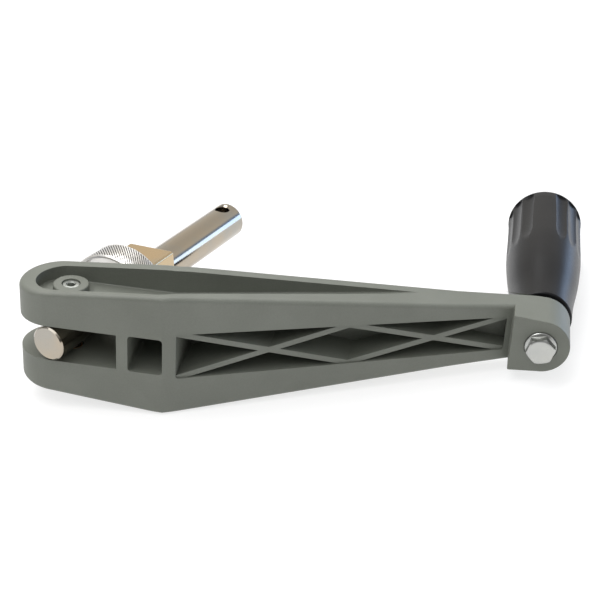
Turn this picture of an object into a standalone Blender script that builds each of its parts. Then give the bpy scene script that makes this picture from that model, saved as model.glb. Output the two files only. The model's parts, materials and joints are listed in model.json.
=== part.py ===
"""Folding crank handle for a winch.

A moulded arm carries a turning grip at one end and, at the other, a fork that a
round drive rod folds in. A knurled nut on the rod clamps the fork square to the rod.

Frame: metres, +Z up. The origin is the centre of the drive rod's free end. The
arm's long side runs along +X, and the fork's hinge pin and its folding axis stand
along Z. The rod points back from the pin, ROD_ANGLE away from the arm's +X.
"""

import math

import bmesh
import bpy
from mathutils import Matrix, Vector

MM = 0.001
GAP = 0.3 * MM                      # clearance between fitted pieces

# Drive rod, measured along its axis from the hinge pin.
ROD_ANGLE = math.radians(70.7)      # rod direction from the arm's +X, as posed
ROD_TIP = 121.0 * MM
ROD_R = 8.0 * MM
TAIL_R = 7.2 * MM
TAIL_BACK = 15.9 * MM
ROD_SHOULDER = 39.2 * MM
TIP_CHAMFER = 1.2 * MM
CROSS_HOLE_R = 3.2 * MM
CROSS_HOLE_AT = 114.0 * MM

# Square sleeve pressed on the rod.
SQUARE_WIDTH = 22.5 * MM
SQUARE_NEAR = 39.4 * MM
SQUARE_FAR = 58.2 * MM
SQUARE_TURN = math.radians(6.0)     # its flats sit a little turned from the pin
SQUARE_EDGE = 1.0 * MM

# Knurled clamp nut.
COLLAR_NEAR = 26.0 * MM
COLLAR_FAR = 38.8 * MM
COLLAR_R = 20.4 * MM
COLLAR_CUP_R = 19.0 * MM
COLLAR_CUP_DEPTH = 4.5 * MM
COLLAR_BORE_R = TAIL_R + GAP

# Arm, in plan from the hinge pin.
FORK_HALF_WIDTH = 14.6 * MM
FORK_END_X = -5.7 * MM              # centre of the rounded end
KINK_X = 40.4 * MM
FRONT_ANGLE = math.radians(22.3)
BACK_ANGLE = math.radians(15.34)
BACK_WALL = 3.2 * MM
EDGE_ROUND = 2.6 * MM
EDGE_ROUND_SMALL = 0.6 * MM

# Arm, heights above its middle plane at places along X, rounded over at the knee.
FORK_END_HEIGHT = 20.9 * MM
TOP_POINTS = (
    (-21.0 * MM, FORK_END_HEIGHT),
    (34.4 * MM, 25.86 * MM),
    (38.4 * MM, 26.09 * MM),
    (42.4 * MM, 26.04 * MM),
    (46.4 * MM, 25.75 * MM),
    (150.0 * MM, 14.55 * MM),
    (160.0 * MM, 13.7 * MM),
    (170.0 * MM, 12.95 * MM),
    (178.0 * MM, 12.3 * MM),
)

# Barrel that carries the axle.
BARREL_X = 185.5 * MM
BARREL_R = 11.7 * MM
BARREL_FRONT = 31.5 * MM
BARREL_BACK = 52.9 * MM
BARREL_SIDE_X = 173.4 * MM
BARREL_CLEAR_X = 210.0 * MM         # past the nose, which the side outline trims

# Openings in the arm.
SLOT_HALF = 7.6 * MM
SLOT_END_X = 22.15 * MM
POCKET_X = (26.65 * MM, 40.47 * MM)
POCKET_HALF = 7.85 * MM
TRUSS_S = (5.4 * MM, 141.0 * MM)    # from the kink, along the front face
TRUSS_HALF = (9.85 * MM, 7.55 * MM)
TRUSS_NODE_S = 74.7 * MM
RIB = 2.2 * MM
RIB_RECESS = 0.7 * MM
RECESS_FLOOR = 16.2 * MM
RECESS_FRONT_Y = -11.4 * MM
RECESS_BACK_Y = 9.0 * MM
RECESS_END_X = -3.2 * MM
RECESS_TIP_X = 134.0 * MM
RECESS_FRONT_SLOPE = 0.468
RECESS_BACK_SLOPE = 0.2743
RECESS_FRONT_KINK_X = 38.5 * MM

# Hinge pin, its bushes and screws.
BOSS_R = 7.3 * MM
BOSS_TOP = 19.9 * MM
SCREW_SEAT = 15.6 * MM
SCREW_HEAD_R = 3.5 * MM
SCREW_HEAD_TOP = 19.5 * MM
SCREW_SHANK_R = 2.0 * MM
SCREW_SHANK_END = 7.0 * MM
SCREW_HEX = 3.0 * MM
PIN_R = 3.0 * MM
PIN_HALF = 15.3 * MM
EAR_BUSH_R = 4.0 * MM
EAR_BUSH_Z = (7.9 * MM, 12.8 * MM)

# Axle pieces, measured back from the barrel's rear face.
BOLT_R = 3.0 * MM
BOLT_HEX = 10.4 * MM
BOLT_TURN = -16.0                   # degrees the bolt's hexagon is turned
NUT_HEX = 10.0 * MM
BOLT_FLANGE_R = 6.5 * MM
BOLT_FLANGE = 1.2 * MM
BOLT_HEAD = 3.9 * MM
BOLT_SEAT_DEPTH = 0.6 * MM
BARREL_BUSH_R = 5.0 * MM
WASHER = (0.3 * MM, 1.3 * MM)
WASHER_R = 8.0 * MM
SLEEVE = (1.6 * MM, 84.4 * MM)
SLEEVE_R = 5.0 * MM
END_WASHER = (84.7 * MM, 86.1 * MM)
NUT = (86.4 * MM, 92.2 * MM)
NUT_POCKET_R = 4.4 * MM             # holds the nylon ring
NUT_POCKET_DEPTH = 1.6 * MM
INSERT_R = 4.1 * MM
INSERT_FACES = (1.3 * MM, 0.2 * MM)   # below the nut's far face
BOLT_END = 92.6 * MM

# Grip, from the barrel's rear face: distance along the axle, radius.
GRIP_PROFILE = (
    (96.9, 15.4),
    (96.4, 16.3),
    (95.6, 16.8),
    (94.4, 16.95),
    (81.0, 16.65),
    (69.0, 16.6),
    (58.0, 16.65),
    (52.0, 16.5),
    (44.5, 16.1),
    (36.0, 15.5),
    (27.0, 14.6),
    (18.0, 13.5),
    (11.0, 12.9),
    (5.0, 12.6),
    (2.7, 12.5),
    (2.1, 11.9),
)
GRIP_NEAR = 1.9 * MM
GRIP_FAR = 96.9 * MM
GRIP_BUSH_R = 7.0 * MM
GRIP_BUSH_NEAR = (2.4 * MM, 16.6 * MM)
GRIP_BUSH_FAR = (70.0 * MM, 83.8 * MM)
GRIP_CAVITY_R = 6.2 * MM
GRIP_END_FLOOR = 84.2 * MM
GRIP_END_R = 11.0 * MM
GRIP_R = 16.8 * MM
FLUTE_GROUPS = 3                    # groups of flutes, with a plain strip between them
FLUTES_IN_GROUP = 4
FLUTE_STEP = 21.5                   # degrees
GRIP_TURN = -6.1                    # degrees the strip that faces up leans
FLUTE_FROM = 48.0 * MM
FLUTE_TO = 93.5 * MM
FLUTE_R = 6.6 * MM
FLUTE_DEPTH = 0.6 * MM
FLUTE_RUN_OUT = 12.0 * MM
CAP_R = 10.7 * MM
CAP_FACE = 96.7 * MM

PIVOT = Vector((-ROD_TIP * math.cos(ROD_ANGLE), -ROD_TIP * math.sin(ROD_ANGLE), 0.0))


def clear_scene():
    for obj in list(bpy.data.objects):
        bpy.data.objects.remove(obj, do_unlink=True)


def new_collection(name):
    collection = bpy.data.collections.new(name)
    bpy.context.scene.collection.children.link(collection)
    return collection


clear_scene()
PARTS = new_collection("winch_handle")
CUTTERS = new_collection("cutters")
CUTTERS.hide_render = True


def material(name, colour, metallic, roughness):
    mat = bpy.data.materials.new(name)
    mat.use_nodes = True
    shader = mat.node_tree.nodes["Principled BSDF"]
    shader.inputs["Base Color"].default_value = (*colour, 1.0)
    shader.inputs["Metallic"].default_value = metallic
    shader.inputs["Roughness"].default_value = roughness
    return mat


ARM_GREY = material("arm_grey_plastic", (0.15, 0.165, 0.145), 0.0, 0.6)
GRIP_BLACK = material("grip_black_plastic", (0.02, 0.02, 0.022), 0.0, 0.4)
PLATED = material("plated_steel", (0.62, 0.58, 0.52), 1.0, 0.25)
KNURLED = material("knurled_steel", (0.5, 0.49, 0.47), 1.0, 0.4)
SCREW_STEEL = material("screw_steel", (0.45, 0.45, 0.43), 1.0, 0.4)
BRONZE = material("bush_bronze", (0.45, 0.3, 0.16), 1.0, 0.45)
ACETAL = material("bush_acetal", (0.75, 0.74, 0.7), 0.0, 0.45)
NYLON = material("nut_nylon", (0.1, 0.2, 0.5), 0.0, 0.5)


def empty(name, location, turn=0.0, parent=None):
    obj = bpy.data.objects.new(name, None)
    obj.empty_display_size = 0.02
    obj.parent = parent
    obj.location = location
    obj.rotation_euler = (0.0, 0.0, turn)
    PARTS.objects.link(obj)
    return obj


ARM_FRAME = empty("arm_frame", PIVOT)
DRIVE_FRAME = empty("drive_frame", PIVOT, ROD_ANGLE - math.pi / 2)
AXLE_FRAME = empty("axle_frame", (BARREL_X, BARREL_BACK, 0.0), 0.0, ARM_FRAME)
ALONG_Y = (-math.pi / 2, 0.0, 0.0)      # turns a piece's own Z onto its frame's +Y


def place(obj, collection, parent, location=(0.0, 0.0, 0.0), rotation=(0.0, 0.0, 0.0)):
    obj.parent = parent
    obj.location = location
    obj.rotation_euler = rotation
    collection.objects.link(obj)
    if collection is CUTTERS:
        obj.display_type = "WIRE"
        obj.hide_render = True
    return obj


def turned(name, profile, parent, rotation, mat=None, steps=48):
    """A turned piece: a closed outline of (radius, height) swept about its own Z."""
    mesh = bpy.data.meshes.new(name)
    points = [(radius, 0.0, height) for radius, height in profile]
    edges = [(i, (i + 1) % len(points)) for i in range(len(points))]
    if profile[0][0] == 0.0 and profile[-1][0] == 0.0:
        edges.pop()
    mesh.from_pydata(points, edges, [])
    obj = bpy.data.objects.new(name, mesh)
    screw = obj.modifiers.new("turn", "SCREW")
    screw.axis = "Z"
    screw.angle = 2 * math.pi
    screw.steps = steps
    screw.render_steps = steps
    screw.use_merge_vertices = True
    screw.merge_threshold = 0.00001
    screw.use_smooth_shade = True
    if mat is not None:
        mesh.materials.append(mat)
    return place(obj, PARTS if mat else CUTTERS, parent, rotation=rotation)


def outline_prism(name, points, low, high, parent, upright=False, mat=None):
    """A solid between two heights from a flat outline: points are (x, y), or (x, z) if upright."""
    curve = bpy.data.curves.new(name, "CURVE")
    curve.dimensions = "2D"
    curve.fill_mode = "BOTH"
    curve.extrude = (high - low) / 2
    spline = curve.splines.new("POLY")
    spline.points.add(len(points) - 1)
    for point, (a, b) in zip(spline.points, points):
        point.co = (a, b, 0.0, 1.0)
    spline.use_cyclic_u = True
    source = bpy.data.objects.new(name + "_curve", curve)
    middle = (low + high) / 2
    if upright:
        move = Matrix.Translation((0.0, middle, 0.0)) @ Matrix.Rotation(math.pi / 2, 4, "X")
    else:
        move = Matrix.Translation((0.0, 0.0, middle))
    mesh = bpy.data.meshes.new_from_object(source)
    mesh.name = name
    mesh.transform(move)
    bpy.data.objects.remove(source)
    bpy.data.curves.remove(curve)
    work = bmesh.new()
    work.from_mesh(mesh)
    bmesh.ops.remove_doubles(work, verts=work.verts, dist=0.000005)
    bmesh.ops.recalc_face_normals(work, faces=work.faces)
    work.to_mesh(mesh)
    work.free()
    obj = bpy.data.objects.new(name, mesh)
    if mat is not None:
        mesh.materials.append(mat)
    return place(obj, PARTS if mat else CUTTERS, parent)


def cut(target, tool, operation="DIFFERENCE"):
    step = target.modifiers.new(tool.name, "BOOLEAN")
    step.operation = operation
    step.solver = "EXACT"
    step.object = tool
    return step


def rounded(target, width, segments, limit="ANGLE"):
    bevel = target.modifiers.new("round", "BEVEL")
    bevel.width = width
    bevel.segments = segments
    bevel.limit_method = limit
    bevel.angle_limit = math.radians(35)
    bevel.use_clamp_overlap = True
    return bevel


def arc(cx, cy, radius, start, end, count):
    """Points on an arc, angles in degrees."""
    points = []
    for i in range(count + 1):
        angle = math.radians(start + (end - start) * i / count)
        points.append((cx + radius * math.cos(angle), cy + radius * math.sin(angle)))
    return points


def box_points(x0, x1, z0, z1):
    return [(x0, z0), (x1, z0), (x1, z1), (x0, z1)]


def ring(inner, outer, low, high, chamfer=0.2 * MM):
    """The outline of a plain ring with its outer edges broken."""
    return [
        (inner, high),
        (outer - chamfer, high),
        (outer, high - chamfer),
        (outer, low + chamfer),
        (outer - chamfer, low),
        (inner, low),
    ]


def hexagon(across_flats, turn=0.0):
    radius = across_flats / math.sqrt(3)
    return arc(0.0, 0.0, radius, 30 + turn, 330 + turn, 5)


# ---------------------------------------------------------------- the arm

def front_y(x):
    if x < KINK_X:
        return -FORK_HALF_WIDTH
    return -FORK_HALF_WIDTH + (x - KINK_X) * math.tan(FRONT_ANGLE)


def back_y(x):
    if x < KINK_X:
        return FORK_HALF_WIDTH
    return FORK_HALF_WIDTH + (x - KINK_X) * math.tan(BACK_ANGLE)


def arm_plan():
    back_meets_barrel = KINK_X + (BARREL_BACK - FORK_HALF_WIDTH) / math.tan(BACK_ANGLE)
    points = arc(FORK_END_X, 0.0, FORK_HALF_WIDTH, 90, 270, 24)
    points.append((KINK_X, front_y(KINK_X)))
    points.append((BARREL_SIDE_X, front_y(BARREL_SIDE_X)))
    points.append((BARREL_SIDE_X, BARREL_FRONT))
    points.append((BARREL_CLEAR_X, BARREL_FRONT))
    points.append((BARREL_CLEAR_X, BARREL_BACK))
    points.append((back_meets_barrel, BARREL_BACK))
    points.append((KINK_X, back_y(KINK_X)))
    return points


def arm_side():
    nose = arc(BARREL_X, 0.0, BARREL_R, 90, -90, 24)
    under = [(x, -z) for x, z in reversed(TOP_POINTS)]
    return list(TOP_POINTS) + nose + under


def recess_plan():
    front_tip = RECESS_FRONT_Y + (RECESS_TIP_X - RECESS_FRONT_KINK_X) * RECESS_FRONT_SLOPE
    back_tip = RECESS_BACK_Y + (RECESS_TIP_X - KINK_X) * RECESS_BACK_SLOPE
    radius = (RECESS_BACK_Y - RECESS_FRONT_Y) / 2
    middle = (RECESS_BACK_Y + RECESS_FRONT_Y) / 2
    points = arc(RECESS_END_X, middle, radius, 90, 270, 16)
    points.append((RECESS_FRONT_KINK_X, RECESS_FRONT_Y))
    points.append((RECESS_TIP_X, front_tip))
    points.append((RECESS_TIP_X + 1.5 * MM, (front_tip + back_tip) / 2 + 0.6 * MM))
    points.append((RECESS_TIP_X, back_tip))
    points.append((KINK_X, RECESS_BACK_Y))
    return points


def truss_half(s):
    share = (s - TRUSS_S[0]) / (TRUSS_S[1] - TRUSS_S[0])
    return TRUSS_HALF[0] + (TRUSS_HALF[1] - TRUSS_HALF[0]) * share


def truss_window():
    """The truss opening, as (x, z) seen square on to the arm."""
    corners = []
    for s, sign in ((TRUSS_S[0], -1), (TRUSS_S[1], -1), (TRUSS_S[1], 1), (TRUSS_S[0], 1)):
        corners.append((KINK_X + s * math.cos(FRONT_ANGLE), sign * truss_half(s)))
    return corners


def rib_outlines():
    """Two crossed pairs of ribs across the window, each a thin strip in (x, z)."""
    stations = [TRUSS_S[0], TRUSS_NODE_S, TRUSS_S[1]]
    strips = []
    for s0, s1 in zip(stations, stations[1:]):
        for sign in (1, -1):
            start = Vector((KINK_X + s0 * math.cos(FRONT_ANGLE), sign * truss_half(s0)))
            end = Vector((KINK_X + s1 * math.cos(FRONT_ANGLE), -sign * truss_half(s1)))
            along = (end - start).normalized()
            across = Vector((-along.y, along.x)) * RIB / 2
            start -= along * 2 * MM
            end += along * 2 * MM
            strips.append(
                [tuple(p) for p in (start - across, end - across, end + across, start + across)]
            )
    return strips


def make_arm():
    arm = outline_prism("arm_body", arm_plan(), -40 * MM, 40 * MM, ARM_FRAME, mat=ARM_GREY)
    side = outline_prism("cut_side", arm_side(), -60 * MM, 90 * MM, ARM_FRAME, upright=True)
    cut(arm, side, "INTERSECT")
    bpy.context.view_layer.update()
    graph = bpy.context.evaluated_depsgraph_get()
    shaped = bpy.data.meshes.new_from_object(arm.evaluated_get(graph))
    arm.modifiers.clear()
    arm.data = shaped
    bpy.data.objects.remove(side)
    work = bmesh.new()
    work.from_mesh(shaped)
    bmesh.ops.remove_doubles(work, verts=work.verts, dist=0.000005)
    bmesh.ops.dissolve_limit(
        work, angle_limit=math.radians(0.5), verts=work.verts, edges=work.edges
    )
    weights = work.edges.layers.float.new("bevel_weight_edge")
    for edge in work.edges:
        if not edge.is_manifold or edge.calc_face_angle() < math.radians(35):
            continue
        at_barrel = min(vert.co.x for vert in edge.verts) > BARREL_SIDE_X - 1 * MM
        edge[weights] = EDGE_ROUND_SMALL / EDGE_ROUND if at_barrel else 1.0
    work.to_mesh(shaped)
    work.free()
    rounded(arm, EDGE_ROUND, 3, "WEIGHT")

    for sign, name in ((1, "upper"), (-1, "lower")):
        low, high = sorted((sign * RECESS_FLOOR, sign * 40 * MM))
        recess = outline_prism("cut_recess_" + name, recess_plan(), low, high, ARM_FRAME)
        cut(arm, recess)
        low, high = sorted((sign * (RECESS_FLOOR - 2 * MM), sign * BOSS_TOP))
        boss = turned("add_boss_" + name, closed(BOSS_R, low, high), ARM_FRAME, (0, 0, 0))
        cut(arm, boss, "UNION")

    slot = outline_prism(
        "cut_slot",
        box_points(-40 * MM, SLOT_END_X, -SLOT_HALF, SLOT_HALF),
        -30 * MM,
        30 * MM,
        ARM_FRAME,
        upright=True,
    )
    cut(arm, slot)
    stepped = [
        (SCREW_HEAD_R + 0.2 * MM, 30 * MM),
        (SCREW_HEAD_R + 0.2 * MM, SCREW_SEAT),
        (PIN_R + GAP, SCREW_SEAT),
        (PIN_R + GAP, EAR_BUSH_Z[1] + GAP),
        (EAR_BUSH_R + GAP, EAR_BUSH_Z[1] + GAP),
    ]
    mirrored = [(radius, -height) for radius, height in reversed(stepped)]
    hole = [(0.0, 30 * MM)] + stepped + mirrored + [(0.0, -30 * MM)]
    cut(arm, turned("cut_hinge_hole", hole, ARM_FRAME, (0, 0, 0), steps=32))

    depth = [
        (20 * MM, -40 * MM),
        (180 * MM, -40 * MM),
        (180 * MM, back_y(180 * MM) - BACK_WALL),
        (KINK_X, FORK_HALF_WIDTH - BACK_WALL),
        (20 * MM, FORK_HALF_WIDTH - BACK_WALL),
    ]
    reach = outline_prism("pocket_reach", depth, -30 * MM, 30 * MM, ARM_FRAME)
    for name, points in (
        ("cut_pocket", box_points(*POCKET_X, -POCKET_HALF, POCKET_HALF)),
        ("cut_truss", truss_window()),
    ):
        opening = outline_prism(name, points, -30 * MM, 70 * MM, ARM_FRAME, upright=True)
        cut(opening, reach, "INTERSECT")
        cut(arm, opening)
    ease = RIB_RECESS / math.cos(FRONT_ANGLE)
    x0, x1 = 42 * MM, 176 * MM
    rib_depth = [
        (x0, front_y(x0) + ease),
        (x1, front_y(x1) + ease),
        (x1, back_y(x1) - BACK_WALL / 2),
        (x0, back_y(x0) - BACK_WALL / 2),
    ]
    rib_reach = outline_prism("rib_reach", rib_depth, -30 * MM, 30 * MM, ARM_FRAME)
    for i, points in enumerate(rib_outlines()):
        rib = outline_prism(f"add_rib_{i}", points, -30 * MM, 70 * MM, ARM_FRAME, upright=True)
        cut(rib, rib_reach, "INTERSECT")
        cut(arm, rib, "UNION")

    bore = turned(
        "cut_axle_bore",
        closed(BARREL_BUSH_R + GAP, -40 * MM, 10 * MM),
        AXLE_FRAME,
        ALONG_Y,
    )
    cut(arm, bore)
    front = BARREL_FRONT - BARREL_BACK
    seat = turned(
        "cut_bolt_seat",
        closed(BOLT_FLANGE_R + GAP, front - 5 * MM, front + BOLT_SEAT_DEPTH),
        AXLE_FRAME,
        ALONG_Y,
    )
    cut(arm, seat)
    return arm


def closed(radius, low, high):
    """The outline of a plain solid cylinder."""
    return [(0.0, high), (radius, high), (radius, low), (0.0, low)]


# ------------------------------------------------- pin, bushes and screws

def make_hinge():
    pin = turned(
        "pivot_pin",
        [
            (0.0, SCREW_SHANK_END - 1 * MM),
            (SCREW_SHANK_R + GAP, SCREW_SHANK_END - 1 * MM),
            (SCREW_SHANK_R + GAP, PIN_HALF),
            (PIN_R, PIN_HALF),
            (PIN_R, -PIN_HALF),
            (SCREW_SHANK_R + GAP, -PIN_HALF),
            (SCREW_SHANK_R + GAP, 1 * MM - SCREW_SHANK_END),
            (0.0, 1 * MM - SCREW_SHANK_END),
        ],
        ARM_FRAME,
        (0, 0, 0),
        SCREW_STEEL,
        32,
    )
    hex_tool = outline_prism(
        "cut_hex", hexagon(SCREW_HEX), SCREW_HEAD_TOP - 2 * MM, 30 * MM, ARM_FRAME
    )
    for sign, name in ((1, "upper"), (-1, "lower")):
        tilt = (0.0, 0.0, 0.0) if sign > 0 else (math.pi, 0.0, 0.0)
        turned(
            "ear_bush_" + name,
            ring(PIN_R + GAP, EAR_BUSH_R, *EAR_BUSH_Z),
            ARM_FRAME,
            tilt,
            BRONZE,
            32,
        )
        screw = turned(
            "pivot_screw_" + name,
            [
                (0.0, SCREW_HEAD_TOP),
                (SCREW_HEAD_R - 0.4 * MM, SCREW_HEAD_TOP),
                (SCREW_HEAD_R, SCREW_HEAD_TOP - 0.4 * MM),
                (SCREW_HEAD_R, SCREW_SEAT + GAP / 3),
                (SCREW_SHANK_R, SCREW_SEAT + GAP / 3),
                (SCREW_SHANK_R, SCREW_SHANK_END + 0.4 * MM),
                (SCREW_SHANK_R - 0.4 * MM, SCREW_SHANK_END),
                (0.0, SCREW_SHANK_END),
            ],
            ARM_FRAME,
            tilt,
            SCREW_STEEL,
            32,
        )
        tool = hex_tool
        if sign < 0:
            tool = outline_prism(
                "cut_hex_lower", hexagon(SCREW_HEX), -30 * MM, 2 * MM - SCREW_HEAD_TOP, ARM_FRAME
            )
        cut(screw, tool)
    return pin


# ---------------------------------------------------- drive rod and nut

def make_drive():
    rod = turned(
        "drive_rod",
        [
            (0.0, ROD_TIP),
            (ROD_R - TIP_CHAMFER, ROD_TIP),
            (ROD_R, ROD_TIP - TIP_CHAMFER),
            (ROD_R, ROD_SHOULDER),
            (TAIL_R, ROD_SHOULDER),
            (TAIL_R, -TAIL_BACK + 0.6 * MM),
            (TAIL_R - 0.6 * MM, -TAIL_BACK),
            (0.0, -TAIL_BACK),
        ],
        DRIVE_FRAME,
        ALONG_Y,
        PLATED,
        64,
    )
    pin_hole = turned(
        "cut_rod_pin_hole", closed(PIN_R + GAP, -12 * MM, 12 * MM), DRIVE_FRAME, (0, 0, 0), steps=32
    )
    cut(rod, pin_hole)
    cross_hole = turned(
        "cut_cross_hole", closed(CROSS_HOLE_R, -12 * MM, 12 * MM), DRIVE_FRAME, (0, 0, 0), steps=32
    )
    cross_hole.location = (0.0, CROSS_HOLE_AT, 0.0)
    cut(rod, cross_hole)

    half = SQUARE_WIDTH / 2
    square = outline_prism(
        "square_sleeve",
        box_points(-half, half, -half, half),
        SQUARE_NEAR,
        SQUARE_FAR,
        DRIVE_FRAME,
        upright=True,
        mat=PLATED,
    )
    square.rotation_euler = (0.0, -SQUARE_TURN, 0.0)
    rounded(square, SQUARE_EDGE, 3)
    bore = turned(
        "cut_square_bore", closed(ROD_R + GAP, 30 * MM, 70 * MM), DRIVE_FRAME, ALONG_Y, steps=64
    )
    cut(square, bore)

    turned(
        "lock_collar",
        [
            (COLLAR_BORE_R, COLLAR_FAR),
            (COLLAR_R - 0.7 * MM, COLLAR_FAR),
            (COLLAR_R, COLLAR_FAR - 0.7 * MM),
            (COLLAR_R, COLLAR_NEAR + 0.5 * MM),
            (COLLAR_R - 0.5 * MM, COLLAR_NEAR),
            (COLLAR_CUP_R, COLLAR_NEAR),
            (COLLAR_CUP_R, COLLAR_NEAR + COLLAR_CUP_DEPTH),
            (COLLAR_BORE_R, COLLAR_NEAR + COLLAR_CUP_DEPTH),
        ],
        DRIVE_FRAME,
        ALONG_Y,
        KNURLED,
        72,
    )


# --------------------------------------------------------- axle and grip

def make_axle():
    front = BARREL_FRONT - BARREL_BACK
    seat = front + BOLT_SEAT_DEPTH - GAP / 3
    head_top = seat - BOLT_FLANGE - BOLT_HEAD
    bolt = turned(
        "axle_bolt",
        [
            (0.0, BOLT_END),
            (BOLT_R - 0.4 * MM, BOLT_END),
            (BOLT_R, BOLT_END - 0.4 * MM),
            (BOLT_R, seat),
            (BOLT_FLANGE_R, seat),
            (BOLT_FLANGE_R, seat - 0.6 * MM),
            (BOLT_FLANGE_R - 0.5 * MM, seat - BOLT_FLANGE),
            (BOLT_HEX / 2 - 0.6 * MM, seat - BOLT_FLANGE),
            (BOLT_HEX / 2 - 0.6 * MM, head_top + 1 * MM),
            (0.0, head_top + 1 * MM),
        ],
        AXLE_FRAME,
        ALONG_Y,
        SCREW_STEEL,
        48,
    )
    head = outline_prism(
        "add_bolt_hex",
        hexagon(BOLT_HEX, BOLT_TURN),
        head_top,
        seat - BOLT_FLANGE + 0.2 * MM,
        AXLE_FRAME,
        upright=True,
    )
    corner = BOLT_HEX / math.sqrt(3)
    crown = turned(
        "bolt_hex_crown",
        [
            (0.0, 0.0),
            (corner + 1 * MM, 0.0),
            (corner + 1 * MM, head_top + 1.2 * MM),
            (BOLT_HEX / 2 - 0.25 * MM, head_top),
            (0.0, head_top),
        ],
        AXLE_FRAME,
        ALONG_Y,
    )
    cut(head, crown, "INTERSECT")
    cut(bolt, head, "UNION")

    turned(
        "barrel_bush",
        ring(BOLT_R + GAP, BARREL_BUSH_R, front + BOLT_SEAT_DEPTH + GAP, -GAP),
        AXLE_FRAME,
        ALONG_Y,
        PLATED,
        32,
    )
    turned("arm_washer", ring(BOLT_R + GAP, WASHER_R, *WASHER), AXLE_FRAME, ALONG_Y, SCREW_STEEL)
    turned(
        "axle_sleeve", ring(BOLT_R + GAP, SLEEVE_R, *SLEEVE), AXLE_FRAME, ALONG_Y, PLATED, 32
    )
    turned(
        "end_washer", ring(BOLT_R + GAP, WASHER_R, *END_WASHER), AXLE_FRAME, ALONG_Y, SCREW_STEEL
    )
    nut = outline_prism(
        "lock_nut", hexagon(NUT_HEX), *NUT, AXLE_FRAME, upright=True, mat=SCREW_STEEL
    )
    nut_bore = turned(
        "cut_nut_bore",
        [
            (0.0, 110 * MM),
            (NUT_POCKET_R, 110 * MM),
            (NUT_POCKET_R, NUT[1] - NUT_POCKET_DEPTH),
            (BOLT_R + GAP, NUT[1] - NUT_POCKET_DEPTH),
            (BOLT_R + GAP, 80 * MM),
            (0.0, 80 * MM),
        ],
        AXLE_FRAME,
        ALONG_Y,
        steps=32,
    )
    cut(nut, nut_bore)
    turned(
        "nut_insert",
        ring(
            BOLT_R + GAP,
            INSERT_R,
            NUT[1] - INSERT_FACES[0],
            NUT[1] - INSERT_FACES[1],
            0.1 * MM,
        ),
        AXLE_FRAME,
        ALONG_Y,
        NYLON,
        32,
    )


def make_grip():
    outside = [(radius * MM, along * MM) for along, radius in GRIP_PROFILE]
    bush_hole = GRIP_BUSH_R + GAP
    inside = [
        (bush_hole + 1.2 * MM, GRIP_NEAR),
        (bush_hole, GRIP_NEAR + 0.5 * MM),
        (bush_hole, GRIP_BUSH_NEAR[1] + GAP),
        (GRIP_CAVITY_R, GRIP_BUSH_NEAR[1] + GAP),
        (GRIP_CAVITY_R, GRIP_BUSH_FAR[0] - GAP),
        (bush_hole, GRIP_BUSH_FAR[0] - GAP),
        (bush_hole, GRIP_END_FLOOR),
        (GRIP_END_R, GRIP_END_FLOOR),
        (GRIP_END_R, GRIP_FAR),
    ]
    grip = turned("grip_body", outside + inside, AXLE_FRAME, ALONG_Y, GRIP_BLACK, 72)
    land = 360.0 / FLUTE_GROUPS - FLUTES_IN_GROUP * FLUTE_STEP
    centre = GRIP_R + FLUTE_R - FLUTE_DEPTH
    for i in range(FLUTE_GROUPS * FLUTES_IN_GROUP):
        group, step = divmod(i, FLUTES_IN_GROUP)
        turn = 360.0 / FLUTE_GROUPS * group + land / 2 + FLUTE_STEP * (step + 0.5) + GRIP_TURN
        angle = math.radians(turn)
        flute = turned(
            f"cut_flute_{i:02d}",
            [
                (0.0, FLUTE_TO),
                (FLUTE_R, FLUTE_TO),
                (FLUTE_R, FLUTE_FROM + FLUTE_RUN_OUT),
                (FLUTE_R - FLUTE_DEPTH - 0.4 * MM, FLUTE_FROM),
                (0.0, FLUTE_FROM),
            ],
            AXLE_FRAME,
            ALONG_Y,
            steps=48,
        )
        flute.location = (centre * math.sin(angle), 0.0, centre * math.cos(angle))
        cut(grip, flute)
    for name, span in (("near", GRIP_BUSH_NEAR), ("far", GRIP_BUSH_FAR)):
        turned(
            "grip_bush_" + name,
            ring(SLEEVE_R + GAP, GRIP_BUSH_R, *span),
            AXLE_FRAME,
            ALONG_Y,
            ACETAL,
            32,
        )
    turned(
        "grip_end_cap",
        [
            (0.0, CAP_FACE),
            (CAP_R - 0.5 * MM, CAP_FACE),
            (CAP_R, CAP_FACE - 0.5 * MM),
            (CAP_R, 89 * MM),
            (CAP_R - 1.6 * MM, 89 * MM),
            (CAP_R - 1.6 * MM, CAP_FACE - 2.2 * MM),
            (0.0, CAP_FACE - 2.2 * MM),
        ],
        AXLE_FRAME,
        ALONG_Y,
        GRIP_BLACK,
    )


make_arm()
make_hinge()
make_drive()
make_axle()
make_grip()
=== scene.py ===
"""Looks for a folding winch handle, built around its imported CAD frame.

Shapes are made in millimetre-based frames of their own and then moved into the
frame's metres: the arm and the rod from the fold pin, the grip from the axle.
"""

import json
import math

import bmesh
import bpy
from mathutils import Matrix, Vector


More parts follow.
